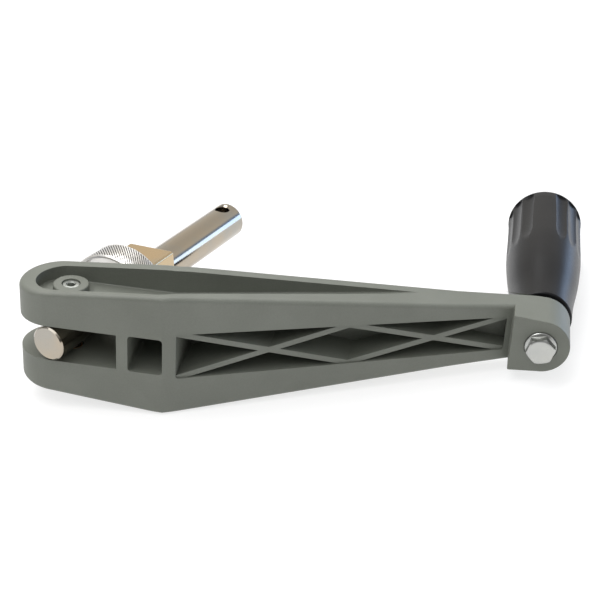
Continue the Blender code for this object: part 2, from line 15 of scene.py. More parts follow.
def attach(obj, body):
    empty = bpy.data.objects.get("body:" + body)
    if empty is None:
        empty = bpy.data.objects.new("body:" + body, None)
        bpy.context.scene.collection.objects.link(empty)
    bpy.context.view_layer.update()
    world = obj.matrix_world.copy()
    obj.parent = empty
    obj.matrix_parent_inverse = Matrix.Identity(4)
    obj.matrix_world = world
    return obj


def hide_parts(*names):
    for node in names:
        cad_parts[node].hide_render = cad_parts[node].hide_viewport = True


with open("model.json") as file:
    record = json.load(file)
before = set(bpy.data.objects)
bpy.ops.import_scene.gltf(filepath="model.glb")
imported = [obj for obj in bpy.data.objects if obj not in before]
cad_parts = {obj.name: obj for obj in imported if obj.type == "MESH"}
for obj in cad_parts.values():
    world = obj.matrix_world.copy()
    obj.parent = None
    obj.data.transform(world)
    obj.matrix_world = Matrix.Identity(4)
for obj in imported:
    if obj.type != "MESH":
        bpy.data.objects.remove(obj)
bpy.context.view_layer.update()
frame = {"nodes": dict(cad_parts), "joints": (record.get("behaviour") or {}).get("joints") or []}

MM = 0.001

JOINTS = {joint["name"]: joint for joint in frame["joints"]}
PIVOT = Vector(JOINTS["fold"]["pos_m"])
ROD_DIRECTION = Vector(JOINTS["nut_turn"]["axis"]).normalized()
ROD_TURN = math.atan2(ROD_DIRECTION.y, ROD_DIRECTION.x) - math.pi / 2
ARM = Matrix.Translation(PIVOT)
DRIVE = ARM @ Matrix.Rotation(ROD_TURN, 4, "Z")         # its +Y runs along the rod
AXLE = Matrix.Translation(Vector(JOINTS["grip_spin"]["pos_m"]))
ALONG_Y = Matrix.Rotation(-math.pi / 2, 4, "X")         # takes a turned piece's Z to +Y


# ------------------------------------------------------------ mesh helpers

def new_object(name, mesh):
    obj = bpy.data.objects.new(name, mesh)
    bpy.context.scene.collection.objects.link(obj)
    return obj


def drop(obj):
    mesh = obj.data
    bpy.data.objects.remove(obj)
    bpy.data.meshes.remove(mesh)


def lathe(name, profile, segments=96):
    """A turned solid: a closed outline of (radius, height) in mm swept about Z."""
    mesh = bpy.data.meshes.new(name)
    work = bmesh.new()
    rings = []
    for radius, height in profile:
        if radius < 1e-6:
            rings.append([work.verts.new((0, 0, height * MM))] * segments)
            continue
        ring = []
        for i in range(segments):
            angle = 2 * math.pi * i / segments
            ring.append(
                work.verts.new(
                    (radius * MM * math.cos(angle), radius * MM * math.sin(angle), height * MM)
                )
            )
        rings.append(ring)
    open_ended = profile[0][0] < 1e-6 and profile[-1][0] < 1e-6
    pairs = list(zip(rings, rings[1:]))
    if not open_ended:
        pairs.append((rings[-1], rings[0]))
    for low, high in pairs:
        for i in range(segments):
            j = (i + 1) % segments
            corners = [low[i], low[j], high[j], high[i]]
            unique = []
            for vert in corners:
                if vert not in unique:
                    unique.append(vert)
            if len(unique) > 2:
                work.faces.new(unique)
    bmesh.ops.recalc_face_normals(work, faces=work.faces)
    work.to_mesh(mesh)
    work.free()
    return new_object(name, mesh)


def prism(name, points, low, high, upright=False):
    """A solid from a flat outline in mm: (x, y) between two heights, or (x, z) along y."""
    mesh = bpy.data.meshes.new(name)
    work = bmesh.new()
    sides = []
    for level in (low, high):
        if upright:
            sides.append([work.verts.new((a * MM, level * MM, b * MM)) for a, b in points])
        else:
            sides.append([work.verts.new((a * MM, b * MM, level * MM)) for a, b in points])
    work.faces.new(sides[0])
    work.faces.new(sides[1])
    for i in range(len(points)):
        j = (i + 1) % len(points)
        work.faces.new([sides[0][i], sides[0][j], sides[1][j], sides[1][i]])
    bmesh.ops.recalc_face_normals(work, faces=work.faces)
    work.to_mesh(mesh)
    work.free()
    return new_object(name, mesh)


def applied(obj):
    """Keeps what the object's modifiers make of its mesh."""
    bpy.context.view_layer.update()
    graph = bpy.context.evaluated_depsgraph_get()
    mesh = bpy.data.meshes.new_from_object(obj.evaluated_get(graph))
    old = obj.data
    obj.modifiers.clear()
    obj.data = mesh
    mesh.name = obj.name
    bpy.data.meshes.remove(old)
    return obj


def combine(target, tool, operation):
    step = target.modifiers.new("step", "BOOLEAN")
    step.operation = operation
    step.solver = "MANIFOLD"
    step.object = tool
    applied(target)
    drop(tool)
    return target


def cut(target, tool):
    return combine(target, tool, "DIFFERENCE")


def join(target, tool):
    return combine(target, tool, "UNION")


def cleaned(obj, angle=0.4):
    work = bmesh.new()
    work.from_mesh(obj.data)
    bmesh.ops.remove_doubles(work, verts=work.verts, dist=0.003 * MM)
    bmesh.ops.dissolve_degenerate(work, dist=0.002 * MM, edges=work.edges)
    bmesh.ops.dissolve_limit(
        work, angle_limit=math.radians(angle), verts=work.verts, edges=work.edges
    )
    work.to_mesh(obj.data)
    work.free()
    return obj


def ease(obj, chosen, width, segments=3, sharp=35):
    """Rounds the sharp edges that chosen(edge) picks."""
    work = bmesh.new()
    work.from_mesh(obj.data)
    edges = []
    for edge in work.edges:
        if edge.is_manifold and edge.calc_face_angle() > math.radians(sharp) and chosen(edge):
            edges.append(edge)
    bmesh.ops.bevel(
        work,
        geom=edges,
        offset=width * MM,
        offset_type="OFFSET",
        segments=segments,
        profile=0.5,
        affect="EDGES",
        clamp_overlap=True,
        miter_outer="ARC",
    )
    bmesh.ops.recalc_face_normals(work, faces=work.faces)
    work.to_mesh(obj.data)
    work.free()
    return obj


def smooth(obj, angle=32, weighted=False):
    mesh = obj.data
    mesh.polygons.foreach_set("use_smooth", [True] * len(mesh.polygons))
    mesh.set_sharp_from_angle(angle=math.radians(angle))
    if weighted:
        normals = obj.modifiers.new("even_faces", "WEIGHTED_NORMAL")
        normals.keep_sharp = True
        normals.weight = 100
    return obj


def finished(obj, placing, mat, body, nodes, angle=32, weighted=False):
    obj.data.transform(placing)
    obj.data.materials.clear()
    obj.data.materials.append(mat)
    smooth(obj, angle, weighted)
    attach(obj, body)
    if nodes:
        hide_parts(*nodes)
    return obj


def arc(cx, cy, radius, start, end, count):
    points = []
    for i in range(count + 1):
        angle = math.radians(start + (end - start) * i / count)
        points.append((cx + radius * math.cos(angle), cy + radius * math.sin(angle)))
    return points


def box_points(x0, x1, z0, z1):
    return [(x0, z0), (x1, z0), (x1, z1), (x0, z1)]


def soft_corner(points, radius, count=5):
    """The same outline with each corner rounded."""
    result = []
    for i, point in enumerate(points):
        here = Vector(point)
        before = (Vector(points[i - 1]) - here).normalized()
        after = (Vector(points[(i + 1) % len(points)]) - here).normalized()
        half = before.angle(after) / 2
        reach = radius / math.tan(half)
        centre = here + (before + after).normalized() * radius / math.sin(half)
        first = here + before * reach - centre
        last = here + after * reach - centre
        for k in range(count + 1):
            share = k / count
            spoke = first.lerp(last, share).normalized() * radius
            result.append(tuple(centre + spoke))
    return result


# ---------------------------------------------------------------- materials

def nodes_of(name):
    mat = bpy.data.materials.new(name)
    mat.use_nodes = True
    tree = mat.node_tree
    return mat, tree, tree.nodes["Principled BSDF"]


def object_space(tree, scale=(1, 1, 1), rotation=(0, 0, 0)):
    coord = tree.nodes.new("ShaderNodeTexCoord")
    mapping = tree.nodes.new("ShaderNodeMapping")
    mapping.inputs["Scale"].default_value = scale
    mapping.inputs["Rotation"].default_value = rotation
    tree.links.new(coord.outputs["Object"], mapping.inputs["Vector"])
    return mapping.outputs["Vector"]


def noise(tree, vector, scale, detail=2.0, roughness=0.5):
    node = tree.nodes.new("ShaderNodeTexNoise")
    node.inputs["Scale"].default_value = scale
    node.inputs["Detail"].default_value = detail
    node.inputs["Roughness"].default_value = roughness
    tree.links.new(vector, node.inputs["Vector"])
    return node.outputs["Fac"]


def ramp(tree, value, stops):
    node = tree.nodes.new("ShaderNodeValToRGB")
    elements = node.color_ramp.elements
    while len(elements) < len(stops):
        elements.new(0.5)
    for element, (place, colour) in zip(elements, stops):
        element.position = place
        element.color = (*colour, 1.0)
    tree.links.new(value, node.inputs["Fac"])
    return node.outputs["Color"]


def spread(tree, value, low, high):
    node = tree.nodes.new("ShaderNodeMapRange")
    node.inputs["From Min"].default_value = 0.3
    node.inputs["From Max"].default_value = 0.7
    node.inputs["To Min"].default_value = low
    node.inputs["To Max"].default_value = high
    tree.links.new(value, node.inputs["Value"])
    return node.outputs["Result"]


def bump(tree, shader, value, strength, distance):
    node = tree.nodes.new("ShaderNodeBump")
    node.inputs["Strength"].default_value = strength
    node.inputs["Distance"].default_value = distance
    tree.links.new(value, node.inputs["Height"])
    tree.links.new(node.outputs["Normal"], shader.inputs["Normal"])


def moulded(name, dark, light, rough, grain, grain_depth, speckle=1500):
    """Moulded plastic: slow tone changes, fine grain and slightly uneven gloss."""
    mat, tree, shader = nodes_of(name)
    vector = object_space(tree)
    slow = noise(tree, vector, 45, 3)
    fine = noise(tree, vector, speckle, 3, 0.6)
    tone = tree.nodes.new("ShaderNodeMath")
    tone.operation = "MULTIPLY_ADD"
    tone.inputs[1].default_value = 0.45
    tree.links.new(fine, tone.inputs[0])
    half = tree.nodes.new("ShaderNodeMath")
    half.operation = "MULTIPLY"
    half.inputs[1].default_value = 0.55
    tree.links.new(slow, half.inputs[0])
    tree.links.new(half.outputs[0], tone.inputs[2])
    colour = ramp(tree, tone.outputs[0], [(0.35, dark), (0.65, light)])
    tree.links.new(colour, shader.inputs["Base Color"])
    tree.links.new(spread(tree, fine, rough - 0.05, rough + 0.06), shader.inputs["Roughness"])
    bump(tree, shader, noise(tree, vector, grain, 3, 0.6), 0.35, grain_depth)
    return mat


def machined(name, warm, cool, rough, stretch=(60, 60, 60), turn=0.0, lines=0.15, depth=0.00002):
    """Turned or plated metal: fine tool lines and slow shifts of its plating's tint."""
    mat, tree, shader = nodes_of(name)
    shader.inputs["Metallic"].default_value = 1.0
    plain = object_space(tree)
    tint = ramp(tree, noise(tree, plain, 55, 3), [(0.38, warm), (0.62, cool)])
    tree.links.new(tint, shader.inputs["Base Color"])
    along = object_space(tree, stretch, (0, 0, turn))
    streak = noise(tree, along, 1.0, 4, 0.65)
    tree.links.new(spread(tree, streak, rough - 0.04, rough + 0.06), shader.inputs["Roughness"])
    bump(tree, shader, streak, lines, depth)
    return mat


ARM_PLASTIC = moulded("arm_plastic_look", (0.142, 0.151, 0.127), (0.172, 0.182, 0.156), 0.52, 2600, 0.00004)
GRIP_PLASTIC = moulded("grip_plastic_look", (0.005, 0.005, 0.006), (0.010, 0.010, 0.011), 0.34, 3000, 0.00002)
GRIP_PLASTIC.node_tree.nodes["Principled BSDF"].inputs["Specular IOR Level"].default_value = 0.22
NYLON = moulded("nylon_look", (0.03, 0.08, 0.3), (0.05, 0.11, 0.36), 0.45, 2000, 0.00002)
ACETAL = moulded("acetal_look", (0.68, 0.67, 0.62), (0.76, 0.75, 0.71), 0.4, 1800, 0.00002)
ROD_STEEL = machined(
    "rod_steel_look", (0.43, 0.37, 0.29), (0.38, 0.36, 0.32), 0.12, (120, 5200, 120), -ROD_TURN, 0.06
)
SQUARE_STEEL = machined(
    "square_steel_look", (0.60, 0.44, 0.25), (0.52, 0.42, 0.28), 0.17, (120, 3200, 120), -ROD_TURN, 0.05
)
KNURL_STEEL = machined(
    "knurl_steel_look", (0.80, 0.77, 0.72), (0.72, 0.72, 0.72), 0.34, (400, 400, 400), 0.0, 0.1
)
# Dark steel for the knurl's groove faces: painted shade that darkens the grooves where their shadow falls.
KNURL_GROOVE_PAINTED_SHADE = machined(
    "knurl_groove_painted_shade", (0.13, 0.125, 0.12), (0.09, 0.09, 0.095), 0.5, (400, 400, 400), 0.0, 0.1
)
FASTENER_STEEL = machined(
    "fastener_steel_look", (0.50, 0.50, 0.47), (0.42, 0.43, 0.42), 0.3, (420, 420, 420), 0.0, 0.3, 0.00006
)
SCREW_STEEL = machined(
    "screw_steel_look", (0.42, 0.43, 0.40), (0.34, 0.36, 0.34), 0.38, (600, 600, 600), 0.0, 0.3, 0.00004
)
BRONZE = machined(
    "bronze_look", (0.48, 0.31, 0.15), (0.42, 0.28, 0.16), 0.4, (500, 500, 500), 0.0, 0.2, 0.00003
)


# ------------------------------------------------------------------- the arm

# In mm, from the fold pin: X along the arm, Y towards the grip, Z up.
KINK_X = 40.4                # where the fork's straight sides turn into the taper
FRONT_ANGLE = 22.3           # degrees that the front leans back past the kink
BACK_ANGLE = 15.34           # and the same for the back
FRONT_TAN = math.tan(math.radians(FRONT_ANGLE))
BACK_TAN = math.tan(math.radians(BACK_ANGLE))
FRONT_COS = math.cos(math.radians(FRONT_ANGLE))
HALF_WIDTH = 14.6
FORK_CENTRE_X = -5.7         # centre of the fork's round end
FORK_STEPS = 40
BARREL = (185.5, 0.0, 11.7)  # x, z and radius
BARREL_Y = (31.5, 52.9)
BARREL_LEFT = 173.4
BLANK_END = 210.0            # the blank runs on past the barrel's nose
TOP = [
    (-21.0, 20.9), (34.4, 25.86), (36.4, 26.01), (38.4, 26.09), (40.4, 26.1), (42.4, 26.04),
    (44.4, 25.92), (46.4, 25.75), (150.0, 14.55), (160.0, 13.7), (170.0, 12.95), (178.0, 12.3),
]
FLOOR_Z = 16.2
SLOT = (7.6, 22.15)
WINDOW_S = (5.4, 74.7, 141.0)
WINDOW_HALF = (9.85, 7.55)
RIB = 2.2
RIB_DOWN = 0.7
WALL = 3.2
RIM = 2.6                    # radius of the outer rims
SMALL_RIM = 0.5              # radius of the rims of the recesses and openings
RECESS_FRONT = (-11.4, 38.5, 0.468)      # y, the x it is at, and the slope from there
RECESS_BACK = (9.0, KINK_X, 0.2743)
BOSS_FOOT = 12.5
BOSS_R = 7.1
BOSS_TOP = 19.9
BOSS_EDGE = 0.7              # radius of the boss's top edge
BOSS_FLAT_R = 6.4
BOSS_SIDE_TOP = 19.2
POCKET = (26.65, 40.47, -7.85, 7.85)     # low x, high x, low z, high z
WINDOW_CORNER = 1.0
POCKET_CORNER = 1.3


def front_y(x):
    return -HALF_WIDTH + max(0.0, x - KINK_X) * FRONT_TAN


def back_y(x):
    return HALF_WIDTH + max(0.0, x - KINK_X) * BACK_TAN


def arm_blank():
    half_step = 180 / FORK_STEPS / 2      # the outline turns by the same angle at every point
    around = HALF_WIDTH / math.cos(math.radians(half_step))
    plan = arc(FORK_CENTRE_X, 0.0, around, 90 + half_step, 270 - half_step, FORK_STEPS - 1)
    plan.append((KINK_X, front_y(KINK_X)))
    plan.append((BARREL_LEFT, front_y(BARREL_LEFT)))
    plan.append((BARREL_LEFT, BARREL_Y[0]))
    plan.append((BLANK_END, BARREL_Y[0]))
    plan.append((BLANK_END, BARREL_Y[1]))
    plan.append((KINK_X + (BARREL_Y[1] - HALF_WIDTH) / BACK_TAN, BARREL_Y[1]))
    plan.append((KINK_X, HALF_WIDTH))
    arm = prism("arm_shell", plan, -40, 40)
    side = TOP + arc(*BARREL, 90, -90, 40) + [(x, -z) for x, z in reversed(TOP)]
    combine(arm, prism("side", side, -60, 90, upright=True), "INTERSECT")
    cleaned(arm)
    work = bmesh.new()
    work.from_mesh(arm.data)
    weights = work.edges.layers.float.new("bevel_weight_edge")
    for edge in work.edges:
        if not edge.is_manifold or edge.calc_face_angle() < math.radians(35):
            continue
        at_barrel = min(vert.co.x for vert in edge.verts) > (BARREL_LEFT - 1) * MM
        edge[weights] = 0.25 if at_barrel else 1.0
    work.to_mesh(arm.data)
    work.free()
    bevel = arm.modifiers.new("rim", "BEVEL")
    bevel.width = RIM * MM
    bevel.segments = 6
    bevel.limit_method = "WEIGHT"
    return applied(arm)


def recess_outline():
    front, back = RECESS_FRONT, RECESS_BACK
    points = arc(-3.2, -1.2, 10.2, 90, 270, 28)
    for x in (38.5, 60.0, 85.0, 110.0, 134.0):
        points.append((x, front[0] + (x - front[1]) * front[2]))
    points.append((135.5, (points[-1][1] + back[0] + (134 - back[1]) * back[2]) / 2 + 0.6))
    for x in (134.0, 110.0, 85.0, 60.0, KINK_X):
        points.append((x, back[0] + (x - back[1]) * back[2]))
    return points


def window_half(s):
    share = (s - WINDOW_S[0]) / (WINDOW_S[-1] - WINDOW_S[0])
    return WINDOW_HALF[0] + (WINDOW_HALF[1] - WINDOW_HALF[0]) * share


def window_x(s):
    return KINK_X + s * FRONT_COS


def pocket_reach(first, last, wall):
    return prism(
        "reach",
        [
            (first, -40), (last, -40), (last, back_y(last) - wall),
            (KINK_X, HALF_WIDTH - wall), (first, HALF_WIDTH - wall),
        ],
        -30, 30,
    )


def at_recess_floor(edge):
    return all(abs(abs(vert.co.z) - FLOOR_Z * MM) < 1e-6 for vert in edge.verts)


def make_arm():
    arm = arm_blank()
    for sign in (1, -1):
        low, high = sorted((sign * FLOOR_Z, sign * 40))
        recess = prism("recess", recess_outline(), low, high)
        ease(recess, at_recess_floor, 1.0, 4)
        cut(arm, recess)
        boss = [(0, BOSS_FOOT), (BOSS_R, BOSS_FOOT), (BOSS_R, BOSS_SIDE_TOP)]
        for a in (0.39, 0.79, 1.18):
            boss.append((BOSS_FLAT_R + BOSS_EDGE * math.cos(a), BOSS_SIDE_TOP + BOSS_EDGE * math.sin(a)))
        boss += [(BOSS_FLAT_R, BOSS_TOP), (0, BOSS_TOP)]
        tool = lathe("boss", boss, 72)
        if sign < 0:
            tool.data.transform(Matrix.Rotation(math.pi, 4, "X"))
        join(arm, tool)
    cleaned(arm)

    def recess_rim(edge):
        middle = (edge.verts[0].co + edge.verts[1].co) / 2
        on_wall = any(abs(face.normal.z) < 0.05 for face in edge.link_faces)
        outside_boss = math.hypot(middle.x, middle.y) > 8 * MM
        return abs(middle.z) > 18.6 * MM and middle.x < 109 * MM and on_wall and outside_boss

    ease(arm, recess_rim, SMALL_RIM, 3)

    cut(arm, prism("slot", box_points(-40, SLOT[1], -SLOT[0], SLOT[0]), -30, 30, upright=True))
    hole = [
        (0, 30), (3.7, 30), (3.7, 15.6), (3.3, 15.6), (3.3, 13.1), (4.3, 13.1),
        (4.3, -13.1), (3.3, -13.1), (3.3, -15.6), (3.7, -15.6), (3.7, -30), (0, -30),
    ]
    cut(arm, lathe("hinge_hole", hole, 48))

    pocket_outline = soft_corner(box_points(*POCKET), POCKET_CORNER)
    pocket = prism("pocket", pocket_outline, -30, 70, upright=True)
    combine(pocket, pocket_reach(20, 60, WALL), "INTERSECT")
    cut(arm, pocket)
    corners = []
    for s, sign in ((WINDOW_S[0], -1), (WINDOW_S[-1], -1), (WINDOW_S[-1], 1), (WINDOW_S[0], 1)):
        corners.append((window_x(s), sign * window_half(s)))
    window = prism("window", soft_corner(corners, WINDOW_CORNER), -30, 70, upright=True)
    combine(window, pocket_reach(20, 180, WALL), "INTERSECT")
    cut(arm, window)

    down = RIB_DOWN / FRONT_COS
    for s0, s1 in zip(WINDOW_S, WINDOW_S[1:]):
        for sign in (1, -1):
            start = Vector((window_x(s0), sign * window_half(s0)))
            end = Vector((window_x(s1), -sign * window_half(s1)))
            along = (end - start).normalized()
            across = Vector((-along.y, along.x)) * RIB / 2
            start -= along * 2
            end += along * 2
            strip = [tuple(p) for p in (start - across, end - across, end + across, start + across)]
            rib = prism("rib", strip, -30, 70, upright=True)
            x0, x1 = 42, 176
            reach = prism(
                "rib_reach",
                [
                    (x0, front_y(x0) + down), (x1, front_y(x1) + down),
                    (x1, back_y(x1) - WALL / 2), (x0, back_y(x0) - WALL / 2),
                ],
                -30, 30,
            )
            combine(rib, reach, "INTERSECT")
            join(arm, rib)

    bore = lathe("bore", [(0, 10), (5.3, 10), (5.3, -40), (0, -40)], 48)
    front = BARREL_Y[0] - BARREL_Y[1]
    seat = lathe("seat", [(0, front + 0.6), (6.8, front + 0.6), (6.8, front - 5), (0, front - 5)], 72)
    to_barrel = Matrix.Translation((BARREL[0] * MM, BARREL_Y[1] * MM, 0)) @ ALONG_Y
    for tool in (bore, seat):
        tool.data.transform(to_barrel)
        cut(arm, tool)
    cleaned(arm)

    facing = Vector((math.sin(math.radians(FRONT_ANGLE)), -FRONT_COS, 0))

    def opening_rim(edge):
        middle = (edge.verts[0].co + edge.verts[1].co) / MM / 2
        if middle.x > BARREL_LEFT - 4 or abs(middle.z) > 12:
            return False
        out = Vector((0, -1, 0)) if middle.x < KINK_X + 1 else facing
        on_face = any(face.normal.dot(out) > 0.995 for face in edge.link_faces)
        near_front = middle.y < front_y(middle.x) + 0.1
        return on_face and near_front

    ease(arm, opening_rim, SMALL_RIM, 3, 50)

    def slot_rim(edge):
        middle = (edge.verts[0].co + edge.verts[1].co) / MM / 2
        on_slot = any(abs(face.normal.z) > 0.99 for face in edge.link_faces)
        return middle.x < 0 and abs(abs(middle.z) - SLOT[0]) < 0.05 and on_slot and (
            (middle.x - FORK_CENTRE_X) ** 2 + middle.y ** 2 > 13.5 ** 2
        )

    ease(arm, slot_rim, SMALL_RIM, 3, 50)
    finished(arm, ARM, ARM_PLASTIC, "arm", ["arm_body"], 30, True)


make_arm()


# ------------------------------------------------------------ fold pin screws

def make_screws():
    for sign, name in ((1, "upper"), (-1, "lower")):
        profile = [
            (0, 19.5), (3.1, 19.5), (3.3, 19.42), (3.45, 19.25), (3.5, 19.0), (3.5, 15.7),
            (2.0, 15.7), (2.0, 7.4), (1.6, 7.0), (0, 7.0),
        ]
        screw = lathe("socket_screw_" + name, profile, 64)
        hexagon = prism("hex", arc(0, 0, 3.0 / math.sqrt(3), 30, 330, 5), 17.5, 30)
        cut(screw, hexagon)
        mouth = lathe("mouth", [(0, 19.15), (1.75, 19.15), (2.15, 19.65), (0, 19.65)], 48)
        cut(screw, mouth)
        if sign < 0:
            screw.data.transform(Matrix.Rotation(math.pi, 4, "X"))
        cleaned(screw, 0.2)
        finished(
            screw, ARM, SCREW_STEEL, "arm", ["pivot_screw_" + name], 30
        )


make_screws()


# -------------------------------------------------------- rod, square, collar

def make_rod():
    profile = [(0, 121), (6.0, 121), (6.5, 120.9), (6.95, 120.6), (7.8, 119.6), (8.0, 119.2)]
    profile += [(8.0, 118.9), (8.0, 39.9), (8.0, 39.6), (7.8, 39.2), (7.2, 39.2)]
    profile += [(7.2, -15.3), (6.6, -15.9), (0, -15.9)]
    rod = lathe("round_rod", profile, 128)
    rod.data.transform(ALONG_Y)
    cut(rod, lathe("pin_hole", [(0, 12), (3.3, 12), (3.3, -12), (0, -12)], 48))
    hole = [(0, 12), (4.0, 12), (4.0, 7.9), (3.2, 7.1), (3.2, -7.1), (4.0, -7.9), (4.0, -12), (0, -12)]
    cross = lathe("cross", hole, 64)
    cross.data.transform(Matrix.Translation((0, 114 * MM, 0)))
    cut(rod, cross)
    finished(rod, DRIVE, ROD_STEEL, "drive", ["drive_rod"], 28)


SQUARE_HALF = 11.25
SQUARE_ALONG = (39.4, 58.2)  # where it starts and ends along the rod
SQUARE_EDGE = 1.1
SQUARE_ROLL = 6              # degrees about the rod


def make_square():
    half = SQUARE_HALF
    square = prism("square_drive", box_points(-half, half, -half, half), *SQUARE_ALONG, upright=True)
    ease(square, lambda edge: True, SQUARE_EDGE, 5)
    square.data.transform(Matrix.Rotation(-math.radians(SQUARE_ROLL), 4, "Y"))
    bore = lathe("bore", [(0, 70), (8.3, 70), (8.3, 30), (0, 30)], 128)
    bore.data.transform(ALONG_Y)
    cut(square, bore)
    finished(square, DRIVE, SQUARE_STEEL, "drive", ["square_sleeve"], 28, True)


KNURL_TEETH = 98
KNURL_DEPTH = 0.5
KNURL_STEPS = (0.0, 0.62, 0.74, 0.88)      # tooth, then groove floor, as shares of one pitch
KNURL_TWIST = -0.048         # how far the teeth lean, radians for each mm along the rod


def make_collar():
    """The nut's outside is cut into leaning teeth, ring by ring, with painted shade on the groove faces."""
    near, far = 26.0, 38.8
    outline = [
        (7.5, far - 0.5, 0), (8.0, far, 0), (19.2, far, 0), (19.9, far - 0.35, 0),
        (20.4, far - 1.1, 1), (20.4, far - 4.4, 1), (20.4, far - 8.0, 1), (20.4, near + 1.3, 1),
        (20.2, near + 0.85, 0), (19.9, near + 0.4, 0), (19.5, near + 0.1, 0), (19.15, near, 0),
        (18.9, near + 0.25, 0), (18.8, near + 3.4, 0), (18.3, near + 4.3, 0), (17.4, near + 4.5, 0),
        (8.0, near + 4.5, 0), (7.5, near + 5.0, 0),
    ]
    mesh = bpy.data.meshes.new("knurled_nut")
    work = bmesh.new()
    count = KNURL_TEETH * 4
    lift = (0.0, 0.0, -KNURL_DEPTH, -KNURL_DEPTH)
    rings = []
    painted_shade_faces = []
    for radius, height, toothed in outline:
        ring = []
        for i in range(count):
            turn = (i // 4 + KNURL_STEPS[i % 4]) / KNURL_TEETH
            angle = 2 * math.pi * turn + KNURL_TWIST * (height - near)
            r = radius + (lift[i % 4] if toothed else 0.0)
            ring.append(work.verts.new((r * MM * math.cos(angle), r * MM * math.sin(angle), height * MM)))
        rings.append(ring)
    for k, low in enumerate(rings):
        high = rings[(k + 1) % len(rings)]
        for i in range(count):
            j = (i + 1) % count
            work.faces.new([low[i], low[j], high[j], high[i]])
            painted_shade_faces.append(i % 4 > 0 and outline[k][2] == 1)
    bmesh.ops.recalc_face_normals(work, faces=work.faces)
    work.to_mesh(mesh)
    work.free()
    collar = new_object("knurled_nut", mesh)
    finished(collar, DRIVE @ ALONG_Y, KNURL_STEEL, "nut", ["lock_collar"], 25)
    # The groove faces get the dark material, which is painted shade in the knurl's grooves.
    mesh.materials.append(KNURL_GROOVE_PAINTED_SHADE)
    for polygon, in_painted_shade in zip(mesh.polygons, painted_shade_faces):
        polygon.material_index = 1 if in_painted_shade else 0


make_rod()
make_square()
make_collar()


# -------------------------------------------------------------- axle and grip

def make_bolt():
    front = BARREL_Y[0] - BARREL_Y[1]
    seat = front + 0.5
    flange = [
        (0, 92.6), (2.6, 92.6), (3.0, 92.2), (3.0, seat), (6.3, seat), (6.5, seat - 0.15),
        (6.5, seat - 0.7), (6.3, seat - 0.95), (5.4, seat - 1.3), (4.6, seat - 1.5),
        (4.6, seat - 3.0), (0, seat - 3.0),
    ]
    bolt = lathe("axle_bolt_head", flange, 96)
    head = prism("hex_head", arc(0, 0, 10.4 / math.sqrt(3), 46, 346, 5), seat - 5.1, seat - 1.1)
    crown = lathe(
        "crown",
        [
            (0, 0), (7.5, 0), (7.5, seat - 3.2), (6.0, seat - 4.2), (5.45, seat - 4.75),
            (4.9, seat - 5.02), (4.2, seat - 5.08), (3.4, seat - 5.0), (0, seat - 4.9),
        ],
        96,
    )
    combine(head, crown, "INTERSECT")
    join(bolt, head)
    cleaned(bolt, 0.2)
    finished(bolt, AXLE @ ALONG_Y, FASTENER_STEEL, "arm", ["axle_bolt"], 30)


GRIP_PROFILE = [
    (2.1, 11.9), (2.3, 12.25), (2.7, 12.5), (5.0, 12.6), (8.0, 12.72), (11.0, 12.9), (14.5, 13.17),
    (18.0, 13.5), (22.5, 14.02), (27.0, 14.6), (31.5, 15.1), (36.0, 15.5), (40.0, 15.82),
    (44.5, 16.1), (48.0, 16.32), (52.0, 16.5), (58.0, 16.65), (69.0, 16.6), (81.0, 16.65),
    (90.0, 16.88), (94.4, 16.95), (95.3, 16.87), (95.9, 16.65), (96.4, 16.2), (96.7, 15.7),
    (96.9, 15.0),
]
LAND = 34.0                  # degrees of each plain strip between the groups of flutes
FLUTE = 21.5                 # degrees of each flute
GROUP = 4
GRIP_TURN = -6.1             # how far the strip that faces up leans from the vertical
FLUTE_DEPTH = 0.62
FLUTE_REACH = 16.85          # radius at which the flutes' edges lie
FLUTE_TOOL_TURN = 0.013      # radians that each flute tool's facets are turned


def make_grip():
    outside = [(radius, along) for along, radius in reversed(GRIP_PROFILE)]
    inside = [
        (9.2, 1.9), (7.9, 2.0), (7.4, 2.5), (7.3, 16.9), (6.2, 16.9), (6.2, 69.7), (7.3, 69.7),
        (7.3, 84.2), (11.0, 84.2), (11.0, 96.5), (11.3, 96.9),
    ]
    grip = lathe("fluted_grip", outside + inside, 180)
    half_chord = FLUTE_REACH * math.sin(math.radians(FLUTE / 2))
    bow = (half_chord ** 2 + FLUTE_DEPTH ** 2) / (2 * FLUTE_DEPTH)
    chord_at = FLUTE_REACH * math.cos(math.radians(FLUTE / 2))
    centre = chord_at + bow - FLUTE_DEPTH
    for group in range(3):
        for k in range(GROUP):
            angle = 120 * group + LAND / 2 + FLUTE * (k + 0.5) + GRIP_TURN
            profile = [(0, 94.6), (bow - 0.5, 94.6), (bow - 0.12, 94.2), (bow, 93.4)]
            profile += [(bow, 60), (bow - 0.05, 57), (bow - 0.25, 53), (bow - 0.6, 49), (bow - 1.2, 44)]
            profile += [(0, 44)]
            tool = lathe("flute", profile, 96)
            tool.data.transform(Matrix.Rotation(FLUTE_TOOL_TURN, 4, "Z"))
            tool.data.transform(ALONG_Y)
            side = math.radians(angle)
            tool.data.transform(
                Matrix.Translation((centre * MM * math.sin(side), 0, centre * MM * math.cos(side)))
            )
            tool.data.transform(ALONG_Y.inverted())
            cut(grip, tool)
    cleaned(grip, 0.05)
    finished(grip, AXLE @ ALONG_Y, GRIP_PLASTIC, "grip", ["grip_body"], 24)
    cap = lathe(
        "grip_plug",
        [
            (0, 96.3), (8.6, 96.3), (9.2, 96.6), (10.1, 96.7), (10.5, 96.5), (10.7, 96.1),
            (10.7, 88.2), (10.4, 87.9), (9.1, 87.9), (9.1, 94.4), (0, 94.4),
        ],
        96,
    )
    finished(cap, AXLE @ ALONG_Y, GRIP_PLASTIC, "grip", ["grip_end_cap"], 30)


make_bolt()
make_grip()

